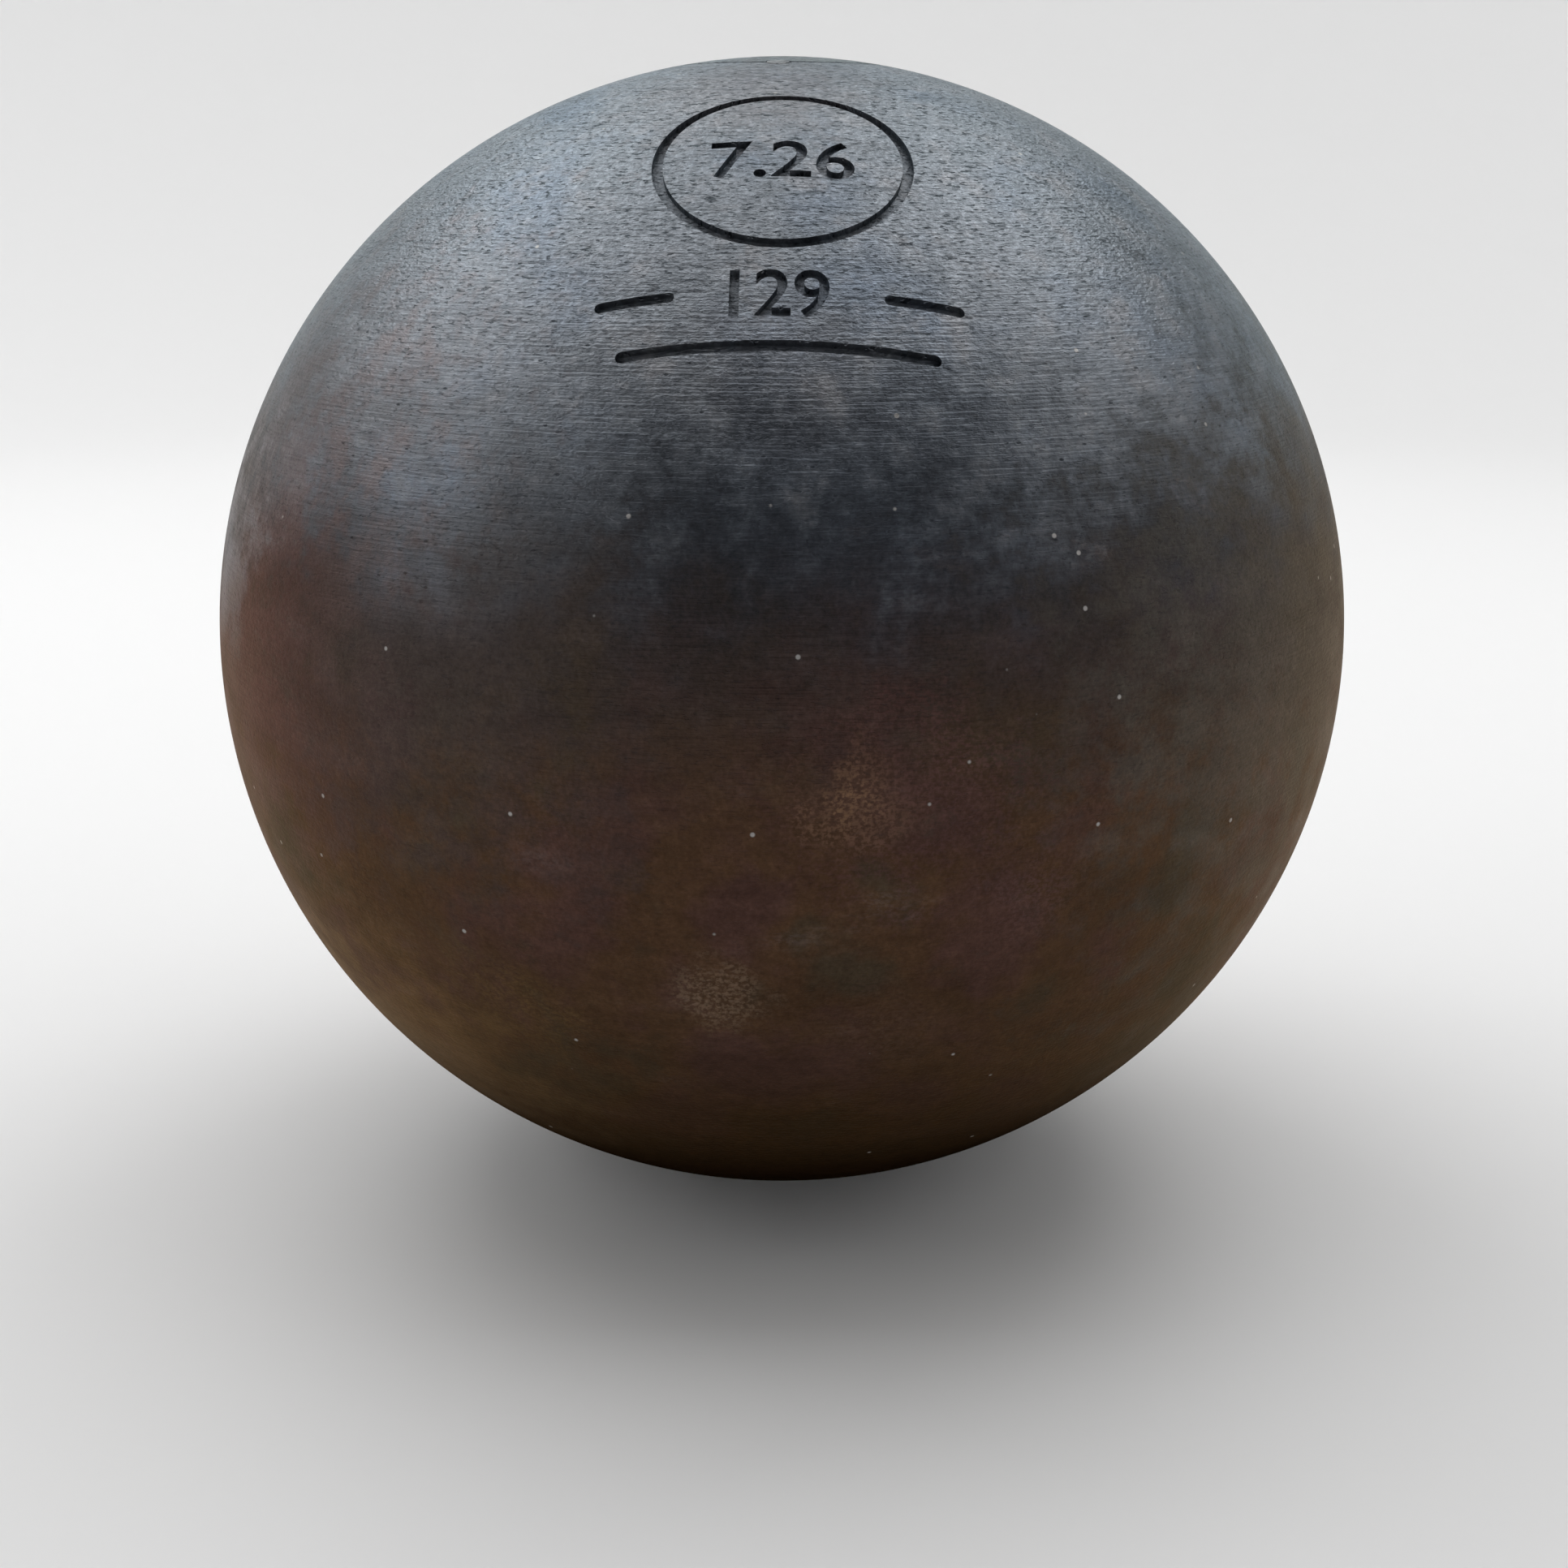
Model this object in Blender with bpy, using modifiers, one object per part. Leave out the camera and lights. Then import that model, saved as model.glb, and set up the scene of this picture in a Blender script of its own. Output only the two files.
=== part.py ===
"""Shot put ball of 7.26 kg: a thick cast iron shell round a hard filled core, closed at its upper
pole by a screwed plug that was turned flush with the ball.

Units are metres, +Z runs up through the plug, and the origin is the centre of the small flat at
the lower pole, on which the ball rests. Heights in the functions below are measured from there.
"""

import math

import bmesh
import bpy

MM = 0.001

# Ball
BALL_D = 129.0 * MM
BASE_FLAT_D = 12.0 * MM
CAVITY_D = 63.0 * MM

# Plug. Its head reaches a shoulder's width past the thread all round, and is 23 mm across
PLUG_SHOULDER_WIDTH = 2.5 * MM
PLUG_HEAD_DEPTH = 9.0 * MM
PLUG_SHANK_LENGTH = 14.0 * MM
PLUG_END_CHAMFER = 0.8 * MM
EDGE_BREAK = 0.2 * MM

# Thread of the plug and the neck. Its tooth has a fixed shape, so it grows with the pitch
THREAD_D = 18.0 * MM
THREAD_PITCH = 2.5 * MM
THREAD_DEPTH = 0.4 * THREAD_PITCH
THREAD_CREST = 0.14 * THREAD_PITCH
THREAD_HALF_ANGLE = math.radians(30.0)

# Pieces in the neck and on the joint line. The pin's floor is the steel left under its hole
SEAL_THICKNESS = 1.5 * MM
PACKING_THICKNESS = 2.5 * MM
TRIM_DISC_THICKNESS = 2.0 * MM
TRIM_DISC_COUNT = 3
DISC_CHAMFER = 0.3 * MM
PIN_D = 2.5 * MM
PIN_FLOOR = 1.8 * MM
PIN_CHAMFER = 0.4 * MM
PIN_TURN_FROM_FRONT = math.radians(-2.0)

# Clearances
SEAT_GAP = 0.3 * MM
THREAD_CLEARANCE = 0.2 * MM
PIN_CLEARANCE = 0.15 * MM

# Fineness of the meshes
STEPS_ROUND_BALL = 64
STEPS_ROUND_DISC = 48
STEPS_ROUND_PIN = 20
STEPS_PER_THREAD_TURN = 32
BALL_ARC_STEPS = 32
CAVITY_ARC_STEPS = 16
CROWN_ARC_STEPS = 4
MERGE = 1e-6
CUTTER_OVERLAP = 0.5 * MM
SHARP_ANGLE = math.radians(25.0)

# Places that follow from the sizes
BALL_R = BALL_D / 2
FLAT_R = BASE_FLAT_D / 2
CENTRE_Z = math.sqrt(BALL_R**2 - FLAT_R**2)
CAVITY_R = CAVITY_D / 2
CREST_R = THREAD_D / 2
HEAD_R = CREST_R + PLUG_SHOULDER_WIDTH
COUNTERBORE_R = HEAD_R + SEAT_GAP
JOINT_R = (HEAD_R + COUNTERBORE_R) / 2
SHANK_R = CREST_R - THREAD_DEPTH
BORE_R = SHANK_R + THREAD_CLEARANCE
DISC_R = BORE_R - SEAT_GAP
HEAD_UNDER_Z = CENTRE_Z + BALL_R - PLUG_HEAD_DEPTH
SHOULDER_Z = HEAD_UNDER_Z - SEAL_THICKNESS - 2 * SEAT_GAP
SHANK_END_Z = HEAD_UNDER_Z - PLUG_SHANK_LENGTH
PACKING_TOP_Z = SHANK_END_Z - SEAT_GAP
TRIM_TOP_Z = PACKING_TOP_Z - PACKING_THICKNESS - SEAT_GAP
TRIM_STEP = TRIM_DISC_THICKNESS + SEAT_GAP
FILL_TOP_Z = TRIM_TOP_Z - TRIM_DISC_COUNT * TRIM_STEP
PIN_HOLE_Z = HEAD_UNDER_Z + PIN_FLOOR


def remove_everything():
    for obj in list(bpy.data.objects):
        bpy.data.objects.remove(obj, do_unlink=True)


def new_collection(name, hidden=False):
    collection = bpy.data.collections.new(name)
    collection.hide_render = hidden
    bpy.context.scene.collection.children.link(collection)
    return collection


def new_material(name, colour, roughness, metallic):
    material = bpy.data.materials.new(name)
    material.use_nodes = True
    shader = material.node_tree.nodes["Principled BSDF"]
    shader.inputs["Base Color"].default_value = (*colour, 1.0)
    shader.inputs["Roughness"].default_value = roughness
    shader.inputs["Metallic"].default_value = metallic
    return material


def new_object(name, mesh, collection, material=None):
    obj = bpy.data.objects.new(name, mesh)
    collection.objects.link(obj)
    if material:
        mesh.materials.append(material)
    return obj


def new_cutter(name, mesh, collection):
    obj = new_object(name, mesh, collection)
    obj.hide_render = True
    obj.display_type = "WIRE"
    return obj


def turned(name, profile, collection, material, closed=False, steps=STEPS_ROUND_BALL):
    """A turned piece. The profile is (radius, height) points, from the top down its outer side."""
    mesh = bpy.data.meshes.new(name)
    ends = len(profile) if closed else len(profile) - 1
    edges = [(i, (i + 1) % len(profile)) for i in range(ends)]
    mesh.from_pydata([(r, 0.0, z) for r, z in profile], edges, [])
    obj = new_object(name, mesh, collection, material)
    screw = obj.modifiers.new("Turn", "SCREW")
    screw.steps = steps
    screw.render_steps = steps
    screw.use_merge_vertices = True
    screw.merge_threshold = MERGE
    return obj


def combine(obj, other, operation):
    boolean = obj.modifiers.new(f"{operation.title()} {other.name}", "BOOLEAN")
    boolean.operation = operation
    boolean.solver = "EXACT"
    boolean.object = other


def finish(obj):
    """Applies the modifiers and shades round faces smooth, with sharp corners kept."""
    graph = bpy.context.evaluated_depsgraph_get()
    mesh = bpy.data.meshes.new_from_object(obj.evaluated_get(graph))
    obj.modifiers.clear()
    obj.data = mesh
    mesh.name = obj.name
    mesh.shade_smooth()
    mesh.set_sharp_from_angle(angle=SHARP_ANGLE)
    return obj


def arc(radius, first, last, steps):
    """Points of an arc about the ball's centre, by their angles from the upper pole."""
    angles = [first + (last - first) * i / steps for i in range(steps + 1)]
    return [(radius * math.sin(a), CENTRE_Z + radius * math.cos(a)) for a in angles]


def ball_height(radius):
    """Height of the ball's upper surface at this distance from the axis."""
    return CENTRE_Z + math.sqrt(BALL_R**2 - radius**2)


def disc_profile(radius, top, thickness, chamfer):
    bottom = top - thickness
    return [
        (0.0, top),
        (radius - chamfer, top),
        (radius, top - chamfer),
        (radius, bottom + chamfer),
        (radius - chamfer, bottom),
        (0.0, bottom),
    ]


def tooth_foot_width(clearance):
    """Height of the thread's tooth where it leaves the shank, or of its groove at the bore."""
    return tooth_crest_width(clearance) + 2 * THREAD_DEPTH * math.tan(THREAD_HALF_ANGLE)


def tooth_crest_width(clearance):
    """Height of the tooth's crest, grown by a clearance that is square to its flanks."""
    growth = 1 / math.cos(THREAD_HALF_ANGLE) - math.tan(THREAD_HALF_ANGLE)
    return THREAD_CREST + 2 * clearance * growth


def thread_mesh(name, clearance, start_z, steps):
    """One right-handed helical tooth, whose foot reaches in past the wall that it joins or cuts."""
    crest = tooth_crest_width(clearance) / 2
    foot = tooth_foot_width(clearance) / 2
    crest_r = CREST_R + clearance
    foot_r = crest_r - THREAD_DEPTH
    inner_r = foot_r - CUTTER_OVERLAP
    upper = [(crest_r, crest), (foot_r, foot), (inner_r, foot)]
    outline = upper + [(r, -h) for r, h in reversed(upper)]
    bm = bmesh.new()
    face = bm.faces.new([bm.verts.new((r, 0.0, start_z + h)) for r, h in outline])
    bmesh.ops.spin(
        bm,
        geom=[face],
        axis=(0.0, 0.0, 1.0),
        dvec=(0.0, 0.0, THREAD_PITCH / STEPS_PER_THREAD_TURN),
        angle=math.tau * steps / STEPS_PER_THREAD_TURN,
        steps=steps,
    )
    bmesh.ops.remove_doubles(bm, verts=bm.verts, dist=MERGE)
    bmesh.ops.triangulate(bm, faces=bm.faces)
    bmesh.ops.recalc_face_normals(bm, faces=bm.faces)
    return mesh_from(bm, name)


def mesh_from(bm, name):
    mesh = bpy.data.meshes.new(name)
    bm.to_mesh(mesh)
    bm.free()
    return mesh


def thread_span():
    """(height of the middle of the plug's first tooth, steps up to its last one)."""
    half_tooth = tooth_foot_width(0.0) / 2
    start = SHANK_END_Z + PLUG_END_CHAMFER + half_tooth
    turns = (SHOULDER_Z - half_tooth - start) / THREAD_PITCH
    return start, int(turns * STEPS_PER_THREAD_TURN)


def plug_thread():
    start, steps = thread_span()
    return thread_mesh("plug_thread", 0.0, start, steps)


def neck_thread():
    """The groove in the neck is one turn longer than the plug's thread at each end."""
    start, steps = thread_span()
    start -= THREAD_PITCH
    steps += 2 * STEPS_PER_THREAD_TURN
    return thread_mesh("neck_thread", THREAD_CLEARANCE, start, steps)


def pin_mesh(name, radius, top, bottom, flush):
    """A pin on the joint line, parallel to the plug. A flush one is turned off with the ball."""
    bm = bmesh.new()
    made = bmesh.ops.create_cone(
        bm,
        cap_ends=True,
        segments=STEPS_ROUND_PIN,
        radius1=radius,
        radius2=radius,
        depth=top - bottom,
    )
    place = (
        JOINT_R * math.sin(PIN_TURN_FROM_FRONT),
        -JOINT_R * math.cos(PIN_TURN_FROM_FRONT),
        (top + bottom) / 2,
    )
    bmesh.ops.translate(bm, verts=made["verts"], vec=place)
    if flush:
        middle = place[2]
        for vert in bm.verts:
            if vert.co.z > middle:
                vert.co.z = ball_height(math.hypot(vert.co.x, vert.co.y))
        rim = [e for e in bm.edges if all(v.co.z < middle for v in e.verts)]
        bmesh.ops.bevel(
            bm,
            geom=rim,
            affect="EDGES",
            offset=PIN_CHAMFER,
            segments=1,
            profile=0.5,
            material=-1,
        )
        bmesh.ops.triangulate(bm, faces=bm.faces)
    return mesh_from(bm, name)


def make_shell(parts, material, thread_cutter, pin_cutter):
    mouth = math.asin(BORE_R / CAVITY_R)
    rim_r = COUNTERBORE_R + EDGE_BREAK
    profile = arc(CAVITY_R, math.pi, mouth, CAVITY_ARC_STEPS)
    profile += [
        (BORE_R, SHOULDER_Z),
        (COUNTERBORE_R, SHOULDER_Z),
        (COUNTERBORE_R, ball_height(rim_r) - EDGE_BREAK),
    ]
    rim = math.asin(rim_r / BALL_R)
    equator = math.pi / 2
    flat_edge = math.pi - math.asin(FLAT_R / BALL_R)
    profile += arc(BALL_R, rim, equator, BALL_ARC_STEPS // 2)
    profile += arc(BALL_R, equator, flat_edge, BALL_ARC_STEPS // 2)[1:]
    profile += [(0.0, 0.0)]
    shell = turned("shell", profile, parts, material)
    combine(shell, thread_cutter, "DIFFERENCE")
    combine(shell, pin_cutter, "DIFFERENCE")
    return finish(shell)


def make_filler_plug(parts, material, thread, pin_cutter):
    rim_r = HEAD_R - EDGE_BREAK
    profile = arc(BALL_R, 0.0, math.asin(rim_r / BALL_R), CROWN_ARC_STEPS)
    profile += [
        (HEAD_R, ball_height(rim_r) - EDGE_BREAK),
        (HEAD_R, HEAD_UNDER_Z),
        (SHANK_R, HEAD_UNDER_Z),
        (SHANK_R, SHANK_END_Z + PLUG_END_CHAMFER),
        (SHANK_R - PLUG_END_CHAMFER, SHANK_END_Z),
        (0.0, SHANK_END_Z),
    ]
    plug = turned("filler_plug", profile, parts, material)
    combine(plug, thread, "UNION")
    combine(plug, pin_cutter, "DIFFERENCE")
    return finish(plug)


def make_core_filling(parts, material):
    """The filling takes the cavity's shape, and a neck stub if it is poured up into the neck."""
    core_r = CAVITY_R - SEAT_GAP
    mouth_z = CENTRE_Z + math.sqrt(core_r**2 - DISC_R**2)
    level = min(FILL_TOP_Z, mouth_z)
    profile = [(0.0, FILL_TOP_Z)]
    if FILL_TOP_Z > mouth_z:
        profile += [(DISC_R, FILL_TOP_Z)]
    first = math.acos((level - CENTRE_Z) / core_r)
    profile += arc(core_r, first, math.pi, CAVITY_ARC_STEPS)
    return finish(turned("core_filling", profile, parts, material))


def make_seal_washer(parts, material):
    top = HEAD_UNDER_Z - SEAT_GAP
    bottom = top - SEAL_THICKNESS
    inner = CREST_R + SEAT_GAP
    profile = [(inner, top), (HEAD_R, top), (HEAD_R, bottom), (inner, bottom)]
    washer = turned("seal_washer", profile, parts, material, True, STEPS_ROUND_DISC)
    return finish(washer)


def make_disc(name, top, thickness, parts, material):
    profile = disc_profile(DISC_R, top, thickness, DISC_CHAMFER)
    return finish(turned(name, profile, parts, material, steps=STEPS_ROUND_DISC))


def make_lock_pin(parts, material):
    top = ball_height(JOINT_R)
    mesh = pin_mesh("lock_pin", PIN_D / 2, top, PIN_HOLE_Z + SEAT_GAP, flush=True)
    return finish(new_object("lock_pin", mesh, parts, material))


def main():
    remove_everything()
    parts = new_collection("shot_put_ball")
    cutters = new_collection("cutters", hidden=True)

    iron = new_material("blackened_iron", (0.045, 0.045, 0.05), 0.45, 0.7)
    plug_steel = new_material("plug_steel", (0.07, 0.072, 0.07), 0.4, 0.8)
    bright_steel = new_material("bright_steel", (0.45, 0.45, 0.46), 0.3, 1.0)
    resin = new_material("core_resin", (0.35, 0.27, 0.16), 0.6, 0.0)
    rubber = new_material("black_rubber", (0.02, 0.02, 0.02), 0.8, 0.0)

    hole_top = CENTRE_Z + BALL_R + CUTTER_OVERLAP
    hole = pin_mesh("pin_hole", PIN_D / 2 + PIN_CLEARANCE, hole_top, PIN_HOLE_Z, flush=False)
    pin_cutter = new_cutter("pin_hole", hole, cutters)
    neck_cutter = new_cutter("neck_thread", neck_thread(), cutters)
    tooth = new_cutter("plug_thread", plug_thread(), cutters)

    make_shell(parts, iron, neck_cutter, pin_cutter)
    make_core_filling(parts, resin)
    make_seal_washer(parts, rubber)
    make_disc("packing_disc", PACKING_TOP_Z, PACKING_THICKNESS, parts, rubber)
    for i in range(TRIM_DISC_COUNT):
        top = TRIM_TOP_Z - i * TRIM_STEP
        make_disc(f"trim_disc_{i + 1}", top, TRIM_DISC_THICKNESS, parts, bright_steel)
    make_filler_plug(parts, plug_steel, tooth, pin_cutter)
    make_lock_pin(parts, bright_steel)


main()
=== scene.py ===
"""Looks of a turned iron throwing ball with a flush screwed plug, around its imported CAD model."""

import math
from types import SimpleNamespace

import bmesh
import bpy
from mathutils import Matrix, Vector


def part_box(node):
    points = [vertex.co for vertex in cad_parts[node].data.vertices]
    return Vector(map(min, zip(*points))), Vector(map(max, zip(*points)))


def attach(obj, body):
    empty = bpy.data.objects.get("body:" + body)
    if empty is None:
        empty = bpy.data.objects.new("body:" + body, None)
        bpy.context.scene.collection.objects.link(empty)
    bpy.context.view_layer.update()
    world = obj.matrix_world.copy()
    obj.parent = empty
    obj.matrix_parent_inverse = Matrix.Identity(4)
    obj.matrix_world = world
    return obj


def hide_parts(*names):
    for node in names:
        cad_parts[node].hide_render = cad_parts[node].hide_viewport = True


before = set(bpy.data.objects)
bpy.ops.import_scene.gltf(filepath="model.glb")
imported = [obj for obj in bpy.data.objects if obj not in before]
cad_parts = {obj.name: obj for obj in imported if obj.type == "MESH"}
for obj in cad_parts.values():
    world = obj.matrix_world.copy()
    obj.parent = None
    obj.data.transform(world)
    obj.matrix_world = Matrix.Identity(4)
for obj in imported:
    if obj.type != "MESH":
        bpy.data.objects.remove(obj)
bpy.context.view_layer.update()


# The camera stands four ball radii from the ball's centre, a little above it and in front of its marks.
# The lens is shifted so that the ball sits above the middle of the frame.
MM = 0.001
BALL_R = (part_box("shell")[1].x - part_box("shell")[0].x) / 2
CROWN_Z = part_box("filler_plug")[1].z
CENTRE = Vector((0.0, 0.0, CROWN_Z - BALL_R))
CAMERA_DISTANCE = 258 * MM
CAMERA_ELEVATION = math.radians(11.6)
FRAME_PIXELS = 1932
BALL_CENTRE_PIXEL = (963.4, 762.0)

away = Vector((0.0, -math.cos(CAMERA_ELEVATION), math.sin(CAMERA_ELEVATION)))
lens = bpy.data.cameras.new("camera")
lens.lens = 50.0
lens.sensor_width = 36.0
lens.clip_start = 0.01
lens.shift_x = (FRAME_PIXELS / 2 - BALL_CENTRE_PIXEL[0]) / FRAME_PIXELS
lens.shift_y = (BALL_CENTRE_PIXEL[1] - FRAME_PIXELS / 2) / FRAME_PIXELS
camera = bpy.data.objects.new("camera", lens)
camera.location = CENTRE + away * CAMERA_DISTANCE
camera.rotation_euler = away.to_track_quat("Z", "Y").to_euler()
bpy.context.collection.objects.link(camera)
bpy.context.scene.camera = camera


# The shell is a casting of grey iron, bored and threaded for the plug and then turned to a true ball.
# Its outside is turned anew here with fine steps, and the CAD solid gives the bore, thread and cavity.
STEPS_ROUND = 288
ARC_STEPS = 144
ON_SURFACE = 0.02 * MM
MERGE = 0.001 * MM
SHARP_ANGLE = math.radians(28)


def turned_ball(radius, flat_z=None):
    """A ball spun from a half circle, with a flat at its lower pole if flat_z says how high that lies."""
    bm = bmesh.new()
    lowest = -math.pi / 2
    if flat_z is not None:
        lowest = math.asin((flat_z - CENTRE.z) / radius)
    angles = [lowest + (math.pi / 2 - lowest) * step / ARC_STEPS for step in range(ARC_STEPS + 1)]
    points = [CENTRE + radius * Vector((math.cos(a), 0.0, math.sin(a))) for a in angles]
    if flat_z is not None:
        points.insert(0, Vector((0.0, 0.0, flat_z)))
    verts = [bm.verts.new(point) for point in points]
    edges = [bm.edges.new(pair) for pair in zip(verts, verts[1:])]
    bmesh.ops.spin(
        bm,
        geom=verts + edges,
        cent=CENTRE,
        axis=(0.0, 0.0, 1.0),
        angle=math.tau,
        steps=STEPS_ROUND,
        use_merge=True,
    )
    bmesh.ops.remove_doubles(bm, verts=bm.verts, dist=MERGE)
    bmesh.ops.recalc_face_normals(bm, faces=bm.faces)
    return bm


def as_object(bm, name):
    """The bmesh as a new object of the scene."""
    mesh = bpy.data.meshes.new(name)
    bm.to_mesh(mesh)
    bm.free()
    piece = bpy.data.objects.new(name, mesh)
    bpy.context.collection.objects.link(piece)
    return piece


def cut(piece, tool):
    """Takes the tool's space out of the piece, and removes the tool."""
    step = piece.modifiers.new("cut", "BOOLEAN")
    step.operation = "DIFFERENCE"
    step.solver = "EXACT"
    step.object = tool
    graph = bpy.context.evaluated_depsgraph_get()
    mesh = bpy.data.meshes.new_from_object(piece.evaluated_get(graph))
    piece.modifiers.clear()
    piece.data = mesh
    bpy.data.objects.remove(tool)


def merged_copy(node):
    """A bmesh of a CAD node, with its loose triangles merged."""
    bm = bmesh.new()
    bm.from_mesh(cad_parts[node].data)
    bmesh.ops.remove_doubles(bm, verts=bm.verts, dist=MERGE)
    return bm


def inside_of_shell():
    """The space inside the shell: its cavity, threaded neck and plug seat, carried on above the surface."""
    bm = merged_copy("shell")
    outside = [
        face
        for face in bm.faces
        if all(abs((v.co - CENTRE).length - BALL_R) < ON_SURFACE or v.co.z < ON_SURFACE for v in face.verts)
    ]
    bmesh.ops.delete(bm, geom=outside, context="FACES")
    rim = [edge for edge in bm.edges if edge.is_boundary]
    made = bmesh.ops.extrude_edge_only(bm, edges=rim)
    lifted = [part for part in made["geom"] if isinstance(part, bmesh.types.BMVert)]
    reach = 1.0 * MM
    spread = 1.0 + reach / lifted[0].co.xy.length
    bmesh.ops.scale(bm, vec=(spread, spread, 1.0), verts=lifted)
    bmesh.ops.translate(bm, vec=(0.0, 0.0, reach), verts=lifted)
    bmesh.ops.holes_fill(bm, edges=[edge for edge in bm.edges if edge.is_boundary])
    bmesh.ops.recalc_face_normals(bm, faces=bm.faces)
    return as_object(bm, "inside")


shell = as_object(turned_ball(BALL_R, 0.0), "shell_turned")
cut(shell, inside_of_shell())


# The marks are milled square to one flat drawing, which touches the ball above its front, so their rows
# arch on the ball. They are plain numbers, a ring and bars, all of one depth below the ball's surface.
MARKS_LATITUDE = math.radians(51.6)
MARKS_TURN = math.radians(-1.0)
MARK_DEPTH = 0.7 * MM
CUTTER_FROM = 56 * MM
CUTTER_TO = 66 * MM
RING_D = 25.6 * MM
RING_STROKE = 1.1 * MM
RING_Y = 4.4 * MM
WEIGHT_NUMBER_HEIGHT = 6.2 * MM
WIDTH_NUMBER_HEIGHT = 5.3 * MM
WIDTH_NUMBER_Y = -13.6 * MM
BAR_STROKE = 1.1 * MM
SIDE_BAR_LENGTH = 7.5 * MM
SIDE_BAR_X = 13.5 * MM
LONG_BAR_LENGTH = 30 * MM
LONG_BAR_Y = -19.2 * MM
BOLDER = 0.08 * MM
RING_STEPS = 96
BAR_END_STEPS = 8
BAR_END_R_SHARE = 0.49


def add_ring(bm, diameter, stroke, y):
    """Adds a ring-shaped cutter on the drawing."""
    outer = diameter / 2
    inner = outer - stroke
    corners = [(inner, CUTTER_FROM), (outer, CUTTER_FROM), (outer, CUTTER_TO), (inner, CUTTER_TO)]
    verts = [bm.verts.new((x, y, z)) for x, z in corners]
    edges = [bm.edges.new((verts[i], verts[(i + 1) % 4])) for i in range(4)]
    bmesh.ops.spin(
        bm,
        geom=verts + edges,
        cent=(0.0, y, 0.0),
        axis=(0.0, 0.0, 1.0),
        angle=math.tau,
        steps=RING_STEPS,
        use_merge=True,
    )


def add_bar(bm, length, stroke, x, y):
    """Adds a straight cutter on the drawing, with round ends."""
    place = Matrix.Translation((x, y, (CUTTER_FROM + CUTTER_TO) / 2))
    size = Matrix.Diagonal((length, stroke, CUTTER_TO - CUTTER_FROM, 1.0))
    made = bmesh.ops.create_cube(bm, size=1.0, matrix=place @ size)
    edges = {edge for vert in made["verts"] for edge in vert.link_edges}
    upright = [edge for edge in edges if abs(edge.verts[0].co.z - edge.verts[1].co.z) > stroke]
    bmesh.ops.bevel(
        bm,
        geom=upright,
        offset=stroke * BAR_END_R_SHARE,
        affect="EDGES",
        segments=BAR_END_STEPS,
        profile=0.5,
        material=-1,
    )


def add_number(bm, text, height, y):
    """Adds number-shaped cutters on the drawing, with digits that high and their middle at y."""
    font = bpy.data.curves.new("number", "FONT")
    font.body = text
    font.resolution_u = 6
    font.extrude = 0.5
    font.offset = BOLDER / height
    letters = bpy.data.objects.new("number", font)
    bpy.context.collection.objects.link(letters)
    graph = bpy.context.evaluated_depsgraph_get()
    mesh = bpy.data.meshes.new_from_object(letters.evaluated_get(graph))
    bpy.data.objects.remove(letters)
    low = Vector(min(v.co[i] for v in mesh.vertices) for i in range(3))
    high = Vector(max(v.co[i] for v in mesh.vertices) for i in range(3))
    share = height / (high.y - low.y)
    place = Matrix.Translation((0.0, y, (CUTTER_FROM + CUTTER_TO) / 2))
    size = Matrix.Diagonal((share, share, CUTTER_TO - CUTTER_FROM, 1.0))
    mesh.transform(place @ size @ Matrix.Translation(-(low + high) / 2))
    bm.from_mesh(mesh)


right = Vector((1.0, 0.0, 0.0))
up = Vector((0.0, math.sin(MARKS_LATITUDE), math.cos(MARKS_LATITUDE)))
outwards = right.cross(up)
drawing = Matrix.Translation(CENTRE) @ Matrix((right, up, outwards)).transposed().to_4x4()
drawing = drawing @ Matrix.Rotation(MARKS_TURN, 4, "Z")
marks = bmesh.new()
add_ring(marks, RING_D, RING_STROKE, RING_Y)
add_number(marks, "7.26", WEIGHT_NUMBER_HEIGHT, RING_Y)
add_number(marks, "129", WIDTH_NUMBER_HEIGHT, WIDTH_NUMBER_Y)
add_bar(marks, SIDE_BAR_LENGTH, BAR_STROKE, -SIDE_BAR_X, WIDTH_NUMBER_Y)
add_bar(marks, SIDE_BAR_LENGTH, BAR_STROKE, SIDE_BAR_X, WIDTH_NUMBER_Y)
add_bar(marks, LONG_BAR_LENGTH, BAR_STROKE, 0.0, LONG_BAR_Y)
bmesh.ops.remove_doubles(marks, verts=marks.verts, dist=MERGE)
bmesh.ops.transform(marks, matrix=drawing, verts=marks.verts)
bmesh.ops.recalc_face_normals(marks, faces=marks.faces)
mark_cutter = as_object(marks, "mark_cutter")
cut(mark_cutter, as_object(turned_ball(BALL_R - MARK_DEPTH), "floor_ball"))
cut(shell, mark_cutter)


# The turned iron is darkened in an oxide bath. Its colours lie in bands by height: blue-grey above, then a
# black
# band, and brown below, with stains. These bands are partly the oxide's own colours and partly painted
# reflection:
# of bright light above, of dark surroundings round the middle and of a warm ground below. Its skin keeps the
# tool's feed lines, short tears and open pores, and the bore shows cut iron. Lengths here are in mm.
BALL_R_MM = BALL_R / MM
PATCH_SIZE = 16
MOTTLE_SIZE = 5
SMUDGE_SIZE = 1.3
SPECKLE_SIZE = 0.4
CLOUD_SIZE = (13.0, 5.0)
FEED_LINE_SIZE = (7.5, 0.27)
WAVE_SIZE = (20.0, 1.1)
GRAIN_SIZE = (0.75, 0.36)
TEAR_SIZE = (0.9, 0.26)
PORE_CELL = (3.2, 1.7)
SPECK_CELL = 5.6
SPECK_R = 0.3
FEED_LINE_RELIEF = 0.14
WAVE_RELIEF = 0.10
GRAIN_RELIEF = 0.16
SPECKLE_RELIEF = 0.05
TEAR_DEPTH = 0.10
PORE_DEPTH = 0.10
JOINT_LINE = (11.2, 12.3)
JOINT_LINE_EDGE = 0.2
JOINT_DIRT = 0.8
GREY_OXIDE = (0.198, 0.213, 0.234, 1.0)
BLUE_OXIDE = (0.170, 0.197, 0.238, 1.0)
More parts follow.
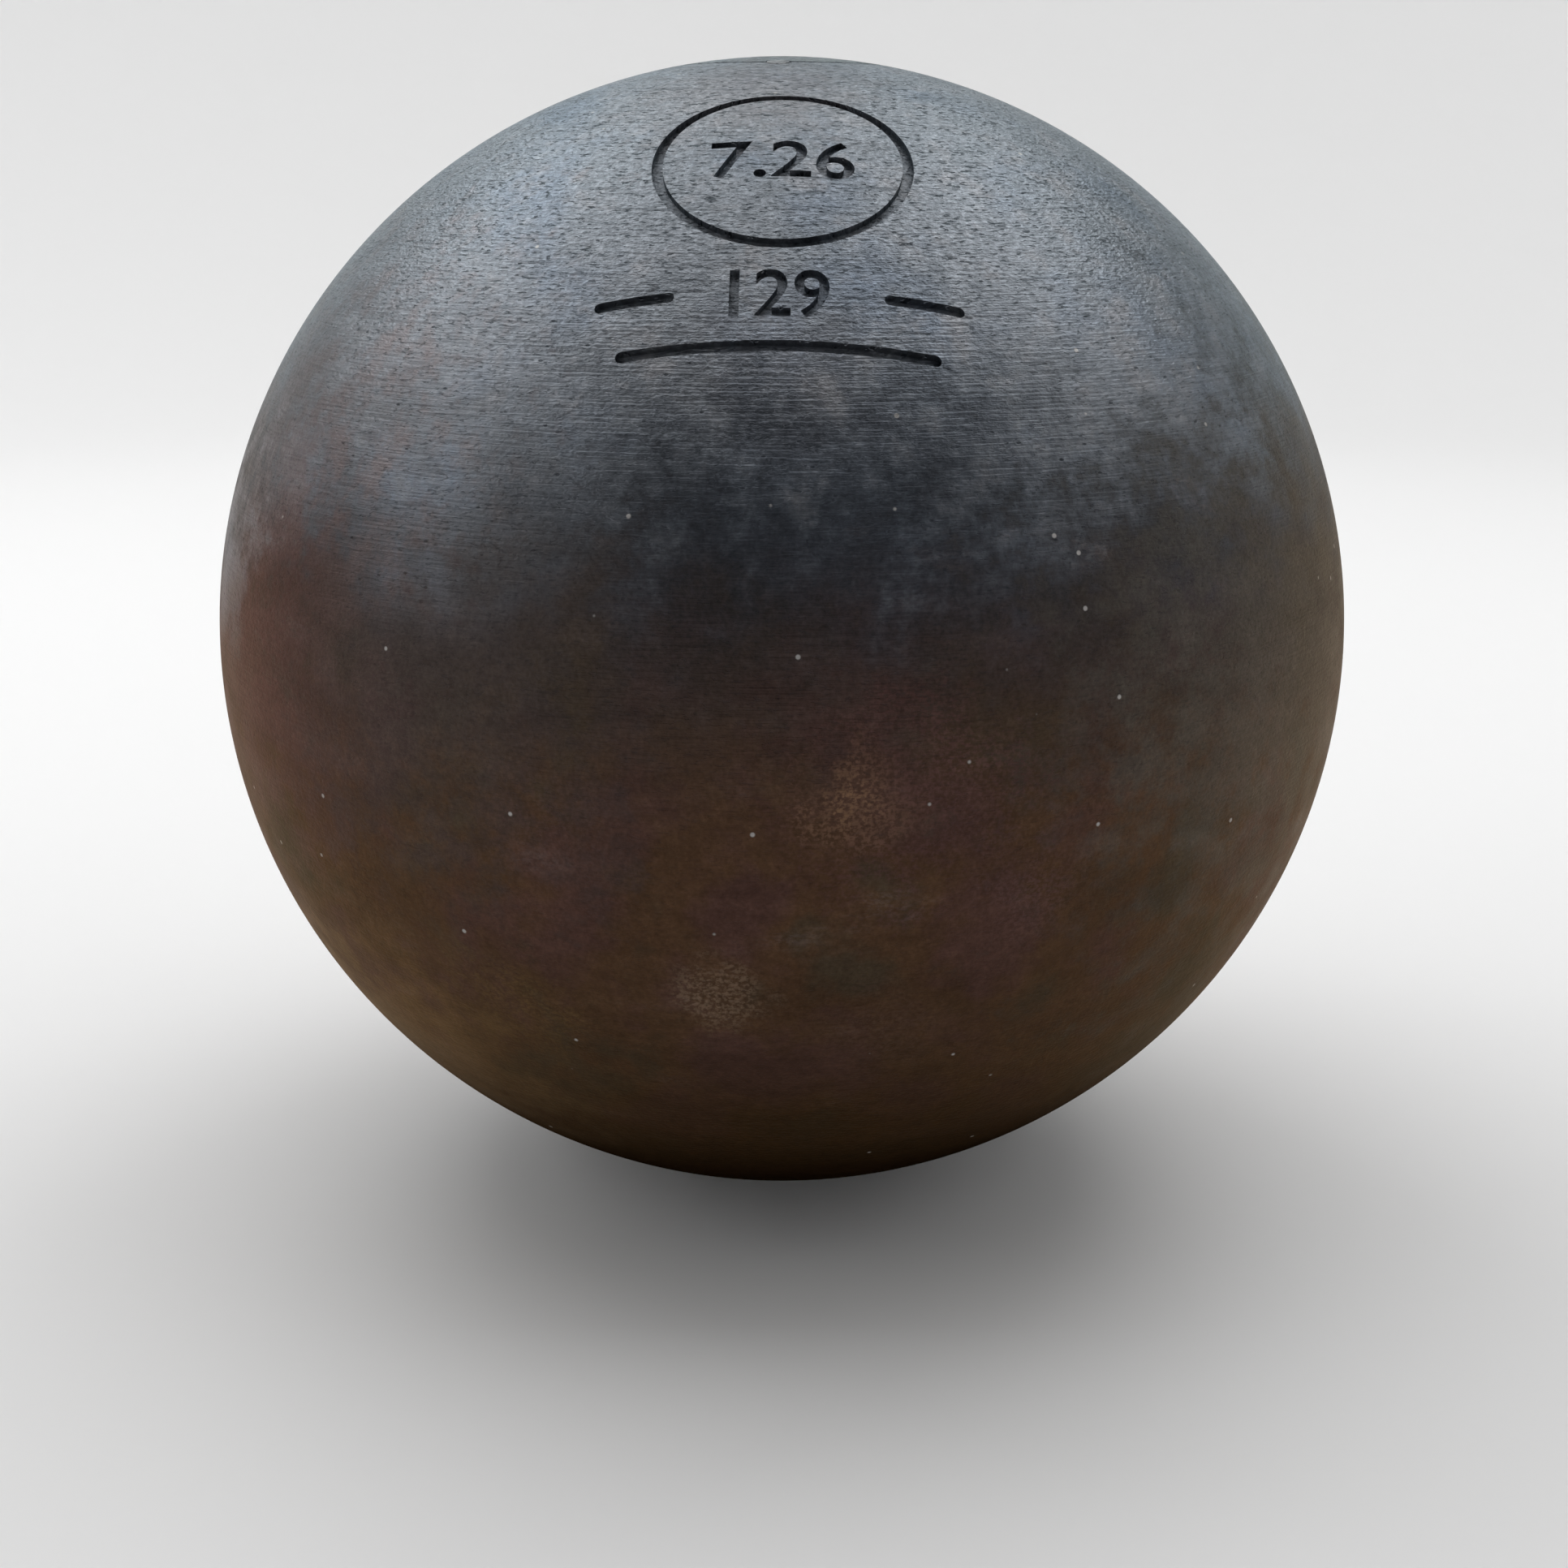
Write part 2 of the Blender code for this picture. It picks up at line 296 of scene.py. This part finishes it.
RUBBED_OXIDE = (0.228, 0.224, 0.231, 1.0)
WATER_MARK = (0.360, 0.385, 0.410, 1.0)
BLACK_OXIDE = (0.018, 0.021, 0.026, 1.0)
BLUE_BLACK_OXIDE = (0.031, 0.035, 0.043, 1.0)
DARK_BROWN_OXIDE = (0.044, 0.033, 0.029, 1.0)
BROWN_OXIDE = (0.067, 0.037, 0.021, 1.0)
PURPLE_STAIN = (0.068, 0.036, 0.030, 1.0)
OLIVE_STAIN = (0.049, 0.037, 0.024, 1.0)
RUST_STAIN = (0.074, 0.037, 0.013, 1.0)
GREY_STAIN = (0.120, 0.092, 0.088, 1.0)
CUT_IRON = (0.34, 0.33, 0.32, 1.0)
# Painted light and shade: the edge of the blue-grey part lies lower on the left, which paints light there,
# and higher at the front and on the right, which paints shade: the side of the ball, the reach and the
# shift.
PAINTED_LIGHT_SHIFTS = [
    ((0.05, -0.95, 0.28), 20, -0.07),
    ((-0.48, -0.84, 0.26), 18, 0.06),
    ((-0.92, -0.36, 0.16), 18, 0.22),
    ((0.62, -0.76, 0.22), 20, -0.09),
]
# Broad stains, crumbly spots and tints of the upper part: side, reach, strength and colour. Some of these
# are painted light and shade, as marked.
STAINS_AND_PAINTED_REFLECTION = [
    ((-0.86, -0.50, 0.08), 30, 0.8, (0.092, 0.044, 0.045, 1.0)),
    ((-0.52, -0.85, 0.08), 26, 0.6, (0.060, 0.050, 0.047, 1.0)),
    ((0.82, -0.56, 0.08), 40, 0.6, (0.094, 0.088, 0.078, 1.0)),
    # A painted warm reflection on the lower-left rim, not a stain.
    ((-0.57, -0.51, -0.64), 24, 0.7, (0.150, 0.088, 0.040, 1.0)),
]
SPOTS = [
    ((0.13, -0.98, -0.08), 13, 0.6, (0.074, 0.037, 0.034, 1.0)),
    ((0.10, -0.99, -0.06), 6, 1.0, (0.165, 0.098, 0.056, 1.0)),
    ((-0.09, -0.92, -0.38), 6, 1.0, (0.140, 0.094, 0.064, 1.0)),
    ((0.23, -0.97, -0.04), 13, 0.7, (0.082, 0.044, 0.038, 1.0)),
    ((0.37, -0.90, -0.22), 7, 0.7, (0.084, 0.046, 0.042, 1.0)),
    ((-0.40, -0.81, -0.43), 8, 0.6, (0.095, 0.058, 0.026, 1.0)),
    ((0.15, -0.88, -0.45), 8, 0.5, (0.080, 0.048, 0.036, 1.0)),
    ((-0.34, -0.93, -0.12), 10, 0.5, (0.072, 0.042, 0.036, 1.0)),
]
# Tints of the upper part, of which three also paint light and shade, as marked.
TINTS_AND_PAINTED_LIGHT = [
    # A lighter mauve tint, which is partly painted light on the left side.
    ((-0.88, -0.45, 0.24), 40, 0.8, (0.260, 0.224, 0.226, 1.0)),
    ((-0.06, -0.35, 0.94), 16, 0.5, (0.235, 0.215, 0.218, 1.0)),
    ((0.00, -0.86, 0.50), 12, 0.4, (0.255, 0.240, 0.238, 1.0)),
    # Painted shade: the dark reflection at the front of the black band.
    ((0.10, -0.93, 0.36), 24, 0.6, (0.115, 0.134, 0.165, 1.0)),
    # Painted shade on the right side.
    ((0.94, -0.22, 0.30), 30, 0.9, (0.080, 0.079, 0.080, 1.0)),
]


class Signal:
    """One output of a shader node, on which Python's arithmetic adds Math nodes."""

    def __init__(self, tree, socket):
        self.tree = tree
        self.socket = socket

    def node(self, kind, settings, inputs, output=0):
        """The output of a new node with these settings, and these values or links in its sockets."""
        made = self.tree.nodes.new(kind)
        for name, value in settings.items():
            setattr(made, name, value)
        for key, value in inputs.items():
            if isinstance(value, Signal):
                self.tree.links.new(value.socket, made.inputs[key])
            else:
                made.inputs[key].default_value = value
        return Signal(self.tree, made.outputs[output])

    def math(self, operation, *values):
        return self.node("ShaderNodeMath", {"operation": operation}, dict(enumerate(values)))

    def __add__(self, other):
        return self.math("ADD", self, other)

    def __sub__(self, other):
        return self.math("SUBTRACT", self, other)

    def __rsub__(self, other):
        return self.math("SUBTRACT", other, self)

    def __mul__(self, other):
        return self.math("MULTIPLY", self, other)

    def __truediv__(self, other):
        return self.math("DIVIDE", self, other)

    __radd__ = __add__
    __rmul__ = __mul__

    def step(self, low, high):
        """A soft step from 0 at low to 1 at high. Low may be the higher of the two."""
        return self.node(
            "ShaderNodeMapRange",
            {"interpolation_type": "SMOOTHSTEP"},
            {"Value": self, "From Min": low, "From Max": high},
        )

    def axes(self):
        """The three numbers of a vector."""
        return [self.node("ShaderNodeSeparateXYZ", {}, {0: self}, axis) for axis in range(3)]

    def vector_math(self, operation, inputs, output=0):
        return self.node("ShaderNodeVectorMath", {"operation": operation}, {0: self, **inputs}, output)

    def scaled(self, factor):
        """This vector or colour times one number."""
        return self.vector_math("SCALE", {"Scale": factor})

    def noise(self, size, detail=2.0, roughness=0.5):
        """Noise at this place, with features about that size."""
        values = {"Vector": self.scaled(1 / size), "Scale": 1.0, "Detail": detail, "Roughness": roughness}
        return self.node("ShaderNodeTexNoise", {}, values)

    def dots(self, cell, radius):
        """Round dots of that radius at this place, one to a cell, which fade out over their outer half."""
        inputs = {"Vector": self.scaled(1 / cell), "Scale": 1.0}
        from_dot = self.node("ShaderNodeTexVoronoi", {}, inputs, "Distance")
        return from_dot.step(radius / cell, radius / cell / 2)

    def between(self, low, high):
        """The colour low where this is 0, and high where it is 1."""
        return self.node("ShaderNodeMix", {"data_type": "RGBA"}, {0: self, 6: low, 7: high}, 2)

    def paint(self, mask, colour):
        """This colour with another laid over it where the mask is 1."""
        return mask.between(self, colour)

    def bump(self):
        """The normal of a relief that is given in mm."""
        return self.node("ShaderNodeBump", {}, {"Height": self, "Distance": MM}, "Normal")

    def principled(self, inputs):
        return self.node("ShaderNodeBsdfPrincipled", {}, inputs)


def start_finish(name, centre):
    """A new material, and the place on its piece in mm from that centre."""
    material = bpy.data.materials.new(name)
    material.use_nodes = True
    tree = material.node_tree
    tree.nodes.remove(tree.nodes["Principled BSDF"])
    start = Signal(tree, tree.nodes.new("ShaderNodeTexCoord").outputs["Object"])
    to_mm = {"Vector": start, "Location": -centre / MM, "Scale": (1 / MM, 1 / MM, 1 / MM)}
    return material, start.node("ShaderNodeMapping", {}, to_mm)


def end_finish(material, surface):
    """The material with that shader on its surface."""
    tree = material.node_tree
    tree.links.new(surface.socket, tree.nodes["Material Output"].inputs["Surface"])
    return material


def skin_patterns(place):
    """The places and patterns on the ball from which its relief and colours are worked out."""
    x, y, z = place.axes()
    from_centre = place.vector_math("LENGTH", {}, "Value")
    height = z / from_centre
    arc = height.math("ARCSINE", height) * BALL_R_MM

    def drawn_out(size):
        """The place for a pattern that is drawn out round the ball's axis: its length, then its height."""
        along, across = size
        return x.node("ShaderNodeCombineXYZ", {}, {0: x / along, 1: y / along, 2: arc / across})

    worked = height.step(-0.35, 0.30) * 0.75 + 0.25
    upper = height.step(0.45, 0.80)
    return SimpleNamespace(
        place=place,
        height=height,
        depth=BALL_R_MM - from_centre,
        from_axis=x.math("SQRT", x * x + y * y),
        worked=worked,
        upper=upper,
        patches=place.noise(PATCH_SIZE, 4.0, 0.6),
        mottle=place.noise(MOTTLE_SIZE, 4.0, 0.65),
        smudge=place.noise(SMUDGE_SIZE, 3.0, 0.6),
        speckle=place.noise(SPECKLE_SIZE, 2.0, 0.6),
        clouds=drawn_out(CLOUD_SIZE).noise(1.0, 4.0, 0.6),
        lines=drawn_out(FEED_LINE_SIZE).noise(1.0, 2.0),
        waves=drawn_out(WAVE_SIZE).noise(1.0),
        grain=drawn_out(GRAIN_SIZE).noise(1.0, 3.0, 0.6),
        tears=drawn_out(TEAR_SIZE).noise(1.0).step(0.59, 0.66) * worked * (upper * 0.5 + 0.5),
        pores=drawn_out(PORE_CELL).dots(1.0, 0.10) * worked,
        specks=place.dots(SPECK_CELL, SPECK_R),
    )


def blotch(skin, side, reach):
    """A ragged patch of the skin round that side of the ball."""
    away = skin.place.vector_math("DISTANCE", {1: BALL_R_MM * Vector(side).normalized()}, "Value")
    edge = away + (skin.mottle - 0.5) * (2.4 * reach) + (skin.smudge - 0.5) * reach
    return edge.step(1.1 * reach, 0.1 * reach)


def skin_relief(skin):
    """The normal of the skin's feed lines, grain, tears and pores."""
    relief = skin.waves * skin.worked * WAVE_RELIEF
    relief = relief + skin.lines * skin.worked * (1.0 - skin.upper * 0.6) * FEED_LINE_RELIEF
    relief = relief + skin.grain * (skin.worked * (skin.upper * 0.5 + 0.5) + 0.3) * GRAIN_RELIEF
    relief = relief + skin.speckle * SPECKLE_RELIEF
    return (relief - skin.tears * TEAR_DEPTH - skin.pores * PORE_DEPTH).bump()


def lower_oxide_and_painted_reflection(skin, brown, normal):
    """The black, brown where that is 1, of the ball's lower part, dull and stained. Its colours are partly
    oxide and partly painted reflection of dark surroundings and a warm ground, with painted shade towards
    the bottom.
    """
    # Where brown is 0 this is the black band, which partly paints the reflection of dark surroundings.
    colour = brown.step(0.0, 0.5).between(BLUE_BLACK_OXIDE, DARK_BROWN_OXIDE)
    colour = colour.paint(brown.step(0.4, 1.0), BROWN_OXIDE)
    colour = colour.paint(skin.patches.step(0.48, 0.62) * brown * 0.85, PURPLE_STAIN)
    colour = colour.paint(skin.patches.step(0.48, 0.36) * brown * 0.85, OLIVE_STAIN)
    colour = colour.paint(skin.height.step(-0.45, -0.80) * 0.85, RUST_STAIN)
    crumbs = (skin.grain * 0.5 + skin.speckle * 0.5).step(0.44, 0.58) * 0.85 + 0.15
    # One of these is a painted warm reflection on the lower-left rim.
    for side, reach, strength, stain in STAINS_AND_PAINTED_REFLECTION:
        colour = colour.paint(blotch(skin, side, reach) * strength, stain)
    for side, reach, strength, stain in SPOTS:
        colour = colour.paint(blotch(skin, side, reach) * crumbs * strength, stain)
    colour = colour.paint(skin.clouds.step(0.58, 0.74) * skin.grain.step(0.4, 0.6) * 0.25, GREY_STAIN)
    colour = colour.scaled((skin.clouds * 0.7 + skin.mottle * 0.6 + 0.35) * (skin.smudge * 0.8 + 0.6))
    # Painted shade: the colour darkens towards the bottom, where the ball stands over its own shadow.
    painted_underside_shade = skin.height.step(-0.85, -0.45) * 0.82 + skin.height.step(-0.88, -0.97) * 0.25 + 0.18
    colour = colour.scaled((skin.speckle * 0.8 + 0.6) * painted_underside_shade)
    colour = colour.paint(skin.tears * 0.5, BLACK_OXIDE)
    colour = colour.paint(skin.specks, CUT_IRON)
    return colour.principled(
        {
            "Base Color": colour,
            "Roughness": 0.5 + (skin.mottle - 0.5) * 0.25,
            "Metallic": skin.height.step(-0.85, -0.55) * 0.7,
            "Specular IOR Level": 0.0,
            "Specular Tint": (1.0, 0.83, 0.65, 1.0),
            "Normal": normal,
        }
    )


def upper_oxide_and_painted_reflection(skin, oxide, bare, joint_dirt, normal):
    """The blue-grey of the ball's upper part, partly oxide and partly painted reflection of light from
    above, with a metal's sheen and some painted light and shade, and the cut iron below it.
    """
    sunk = skin.depth.step(0.15, 0.5)
    inner, outer = JOINT_LINE
    joint = skin.from_axis.step(inner, inner + JOINT_LINE_EDGE)
    joint = joint * skin.from_axis.step(outer, outer - JOINT_LINE_EDGE)
    joint = joint * skin.height.step(0.90, 0.95) * joint_dirt
    feed = skin.lines + (skin.grain - skin.lines) * (skin.upper * 0.8 + 0.2)
    colour = skin.patches.step(0.45, 0.7).between(oxide, BLUE_OXIDE)
    colour = colour.paint(skin.mottle.step(0.50, 0.70) * 0.6, RUBBED_OXIDE)
    # Some of these tints are painted light and shade.
    for side, reach, strength, tint in TINTS_AND_PAINTED_LIGHT:
        colour = colour.paint(blotch(skin, side, reach) * strength, tint)
    colour = colour.paint(skin.clouds.step(0.56, 0.78) * skin.smudge.step(0.3, 0.7) * 0.3, WATER_MARK)
    colour = colour.scaled((skin.mottle * 0.5 + 0.75) * (skin.smudge * 0.7 + 0.65))
    colour = colour.scaled((feed * 1.5 + 0.25) * ((skin.speckle - 0.5) * (skin.upper * 0.7 + 0.4) + 1.0))
    colour = colour.paint(skin.lines.step(0.56, 0.68) * skin.worked * 0.4, BLACK_OXIDE)
    colour = colour.paint(skin.tears * 0.85, BLACK_OXIDE)
    colour = colour.paint(skin.pores * 0.8, BLACK_OXIDE)
    # The engraved floors are painted a quarter of the way to black.
    colour = colour.paint(sunk * 0.25, BLACK_OXIDE)
    colour = colour.paint(skin.specks, CUT_IRON)
    colour = colour.paint(bare, CUT_IRON)
    colour = colour.paint(joint, BLACK_OXIDE)
    return colour.principled(
        {
            "Base Color": colour,
            "Roughness": 0.37 + (skin.mottle - 0.5) * 0.25 + sunk * 0.1,
            "Metallic": 1.0,
            "Specular Tint": (0.80, 0.89, 0.92, 1.0),
            "Normal": normal,
        }
    )


def turned_oxide(name, oxide, joint_dirt):
    """The finish of all that is turned and darkened with the ball, with its own colour in its blue-grey
    upper part.

    How much black dirt the plug's joint line holds is joint_dirt, from 0 to 1.
    """
    material, place = start_finish(name, CENTRE)
    skin = skin_patterns(place)
    normal = skin_relief(skin)
    uneven_height = skin.height + (skin.patches - 0.5) * 0.35 + (skin.mottle - 0.5) * 0.18
    # The edge is shifted to paint light on the left and shade at the front and on the right.
    upper_edge_with_painted_light = uneven_height
    for side, reach, shift in PAINTED_LIGHT_SHIFTS:
        upper_edge_with_painted_light = upper_edge_with_painted_light + blotch(skin, side, reach) * shift
    bare = skin.depth.step(1.2, 2.0)
    # Above this edge the lighter blue-grey skin shows, which partly paints the reflection of light from
    # above.
    showing = bare.math("MAXIMUM", upper_edge_with_painted_light.step(0.16, 0.66), bare)
    dull = lower_oxide_and_painted_reflection(skin, uneven_height.step(0.42, -0.22), normal)
    sheen = upper_oxide_and_painted_reflection(skin, oxide, bare, joint_dirt, normal)
    return end_finish(material, showing.node("ShaderNodeMixShader", {}, {0: showing, 1: dull, 2: sheen}))


def put_in_place(piece, node, material):
    """Shades the piece, gives it its finish and puts it in the CAD node's place."""
    mesh = piece.data
    mesh.materials.clear()
    mesh.materials.append(material)
    # The CAD's own normals would shade the edges of the new cuts wrongly.
    if "custom_normal" in mesh.attributes:
        mesh.attributes.remove(mesh.attributes["custom_normal"])
    mesh.shade_smooth()
    mesh.set_sharp_from_angle(angle=SHARP_ANGLE)
    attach(piece, "root")
    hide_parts(node)


put_in_place(shell, "shell", turned_oxide("blackened_iron", GREY_OXIDE, JOINT_DIRT))


# The core is a hard resin with a mineral filler, poured into the cavity and left to set.
# It is dull and grainy, and its top, which is seen only when the plug is out, has small bubbles.
RESIN = (0.35, 0.27, 0.16, 1.0)
PALE_GRAIN = (0.52, 0.46, 0.36, 1.0)
DARK_GRAIN = (0.14, 0.11, 0.08, 1.0)
GRAIN_CELL = 1.6
BUBBLE_CELL = 4.0
BUBBLE_R = 0.7
BUBBLE_DEPTH = 0.25


def give_finish(node, material):
    """Gives a CAD node, which keeps its shape, a better finish."""
    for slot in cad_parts[node].material_slots:
        slot.material = material


def filled_resin():
    """Dull resin with pale and dark grains and small bubbles."""
    material, place = start_finish("core_resin", CENTRE)
    cloud = place.noise(9, 3.0)
    dust = place.noise(0.5, 2.0)
    grains = place.noise(GRAIN_CELL, 1.0)
    bubbles = place.dots(BUBBLE_CELL, BUBBLE_R)
    colour = cloud.between(RESIN, PALE_GRAIN).scaled(dust * 0.5 + 0.7)
    colour = colour.paint(grains.step(0.60, 0.66) * 0.7, PALE_GRAIN)
    colour = colour.paint(grains.step(0.40, 0.34) * 0.7, DARK_GRAIN)
    colour = colour.paint(bubbles * 0.6, DARK_GRAIN)
    shader = colour.principled(
        {
            "Base Color": colour,
            "Roughness": dust * 0.2 + 0.7,
            "Specular IOR Level": 0.3,
            "Normal": (dust * 0.04 + grains * 0.08 - bubbles * BUBBLE_DEPTH).bump(),
        }
    )
    return end_finish(material, shader)


give_finish("core_filling", filled_resin())


# The trim discs are blanked from cold-rolled steel sheet and dropped into the neck, as many as bring the
# ball to its exact weight. They keep the sheet's rolling grain, and are bright with a little oil stain.
SHEET_STEEL = (0.45, 0.45, 0.46, 1.0)
BRIGHT_STEEL = (0.56, 0.56, 0.57, 1.0)
OIL_STAIN = (0.30, 0.26, 0.20, 1.0)
ROLLING_GRAIN = (8.0, 0.12, 0.12)


def rolled_steel():
    """Bright sheet steel with its rolling grain and thin stains."""
    material, place = start_finish("disc_steel", Vector((0.0, 0.0, 0.0)))
    stretched = place.vector_math("DIVIDE", {1: ROLLING_GRAIN})
    grain = stretched.noise(1.0, 3.0)
    stain = place.noise(4, 4.0, 0.6)
    colour = grain.between(SHEET_STEEL, BRIGHT_STEEL)
    colour = colour.paint(stain.step(0.52, 0.70) * 0.6, OIL_STAIN)
    shader = colour.principled(
        {
            "Base Color": colour,
            "Roughness": stain * 0.25 + grain * 0.1 + 0.2,
            "Metallic": 1.0,
            "Normal": (grain * 0.01).bump(),
        }
    )
    return end_finish(material, shader)


disc_steel = rolled_steel()
for number in (1, 2, 3):
    give_finish(f"trim_disc_{number}", disc_steel)


# The packing disc and the seal washer are punched from black rubber sheet. The plug's tip presses on one and
# its shoulder on the other, so that nothing rattles and no water gets in. Both are dull, with a faint bloom.
RUBBER = (0.020, 0.020, 0.020, 1.0)
BLOOM = (0.055, 0.054, 0.052, 1.0)


def sheet_rubber():
    """Dull black rubber with a faint grey bloom and a fine grain."""
    material, place = start_finish("black_rubber", Vector((0.0, 0.0, 0.0)))
    bloom = place.noise(3, 4.0, 0.65)
    grain = place.noise(0.25, 2.0)
    shader = place.principled(
        {
            "Base Color": bloom.step(0.45, 0.75).between(RUBBER, BLOOM),
            "Roughness": bloom * 0.2 + 0.68,
            "Specular IOR Level": 0.35,
            "Normal": (grain * 0.03).bump(),
        }
    )
    return end_finish(material, shader)


black_rubber = sheet_rubber()
give_finish("packing_disc", black_rubber)
give_finish("seal_washer", black_rubber)


# The filler plug is a steel screw whose head is turned and darkened with the ball, so that only its joint
# line shows. Its steel takes the oxide a little greener than the iron, and its thread is bare.
PLUG_OXIDE = (0.186, 0.205, 0.208, 1.0)

plug = as_object(merged_copy("filler_plug"), "filler_plug_turned")
put_in_place(plug, "filler_plug", turned_oxide("plug_steel", PLUG_OXIDE, JOINT_DIRT))


# The lock pin is a short steel pin, driven into the joint line so that the plug can't turn, and dressed
# flush. Its end is a little brighter than the skin round it.
PIN_OXIDE = (0.31, 0.31, 0.31, 1.0)

pin = as_object(merged_copy("lock_pin"), "lock_pin_turned")
put_in_place(pin, "lock_pin", turned_oxide("pin_steel", PIN_OXIDE, 0.0))


# The floor is a wide pale bowl, so that every view of the ball has the same plain background.
# Soft lamps stand round and above the ball, behind it and at its sides.
FLOOR_R = 0.75
WALL_BEND = 0.35
WALL_TOP = 0.5
FLAT_RINGS = (0.0, 0.25, 0.5)
WALL_BEND_STEPS = 12
BOWL_STEPS = 96
FLOOR_COLOUR = (0.88, 0.88, 0.88, 1.0)
WORLD_COLOUR = (0.06, 0.06, 0.06, 1.0)

bowl = bmesh.new()
bends = [math.pi / 2 * step / WALL_BEND_STEPS for step in range(WALL_BEND_STEPS + 1)]
profile = [(px, 0.0) for px in FLAT_RINGS]
profile += [(FLOOR_R + WALL_BEND * math.sin(a), WALL_BEND * (1 - math.cos(a))) for a in bends]
profile.append((FLOOR_R + WALL_BEND, WALL_TOP))
verts = [bowl.verts.new((px, 0.0, pz)) for px, pz in profile]
edges = [bowl.edges.new(pair) for pair in zip(verts, verts[1:])]
bmesh.ops.spin(
    bowl,
    geom=verts + edges,
    axis=(0.0, 0.0, 1.0),
    angle=math.tau,
    steps=BOWL_STEPS,
    use_merge=True,
)
bmesh.ops.remove_doubles(bowl, verts=bowl.verts, dist=MERGE)
floor = as_object(bowl, "floor")
floor.data.shade_smooth()
pale = bpy.data.materials.new("pale_floor")
pale.use_nodes = True
pale_shader = pale.node_tree.nodes["Principled BSDF"]
pale_shader.inputs["Base Color"].default_value = FLOOR_COLOUR
pale_shader.inputs["Roughness"].default_value = 0.9
pale_shader.inputs["Specular IOR Level"].default_value = 0.1
floor.data.materials.append(pale)


def softbox(name, azimuth, elevation, distance, width, height, radiance):
    """A flat lamp that faces the ball. Azimuth 0 is behind the ball, and 90 to its right."""
    lamp = bpy.data.lights.new(name, "AREA")
    lamp.shape = "RECTANGLE"
    lamp.size = width
    lamp.size_y = height
    lamp.energy = radiance * math.pi * width * height
    piece = bpy.data.objects.new(name, lamp)
    turn = math.radians(azimuth)
    rise = math.radians(elevation)
    away = Vector((math.sin(turn) * math.cos(rise), math.cos(turn) * math.cos(rise), math.sin(rise)))
    piece.location = CENTRE + away * distance
    piece.rotation_euler = away.to_track_quat("Z", "Y").to_euler()
    bpy.context.collection.objects.link(piece)


softbox("overhead", 0, 82, 0.85, 1.3, 0.9, 1.42)
softbox("back", 0, 40, 1.15, 1.3, 0.35, 1.0)
softbox("left_back", -46, 44, 1.0, 0.9, 0.5, 1.6)
softbox("right_back", 42, 50, 1.0, 0.6, 0.45, 1.6)
softbox("left_side", -96, 31, 1.0, 0.9, 0.5, 1.3)
softbox("right_side", 98, 36, 1.0, 0.8, 0.5, 1.05)

world = bpy.data.worlds.new("world")
world.use_nodes = True
world.node_tree.nodes["Background"].inputs["Color"].default_value = WORLD_COLOUR
bpy.context.scene.world = world
bpy.context.scene.view_settings.view_transform = "Standard"
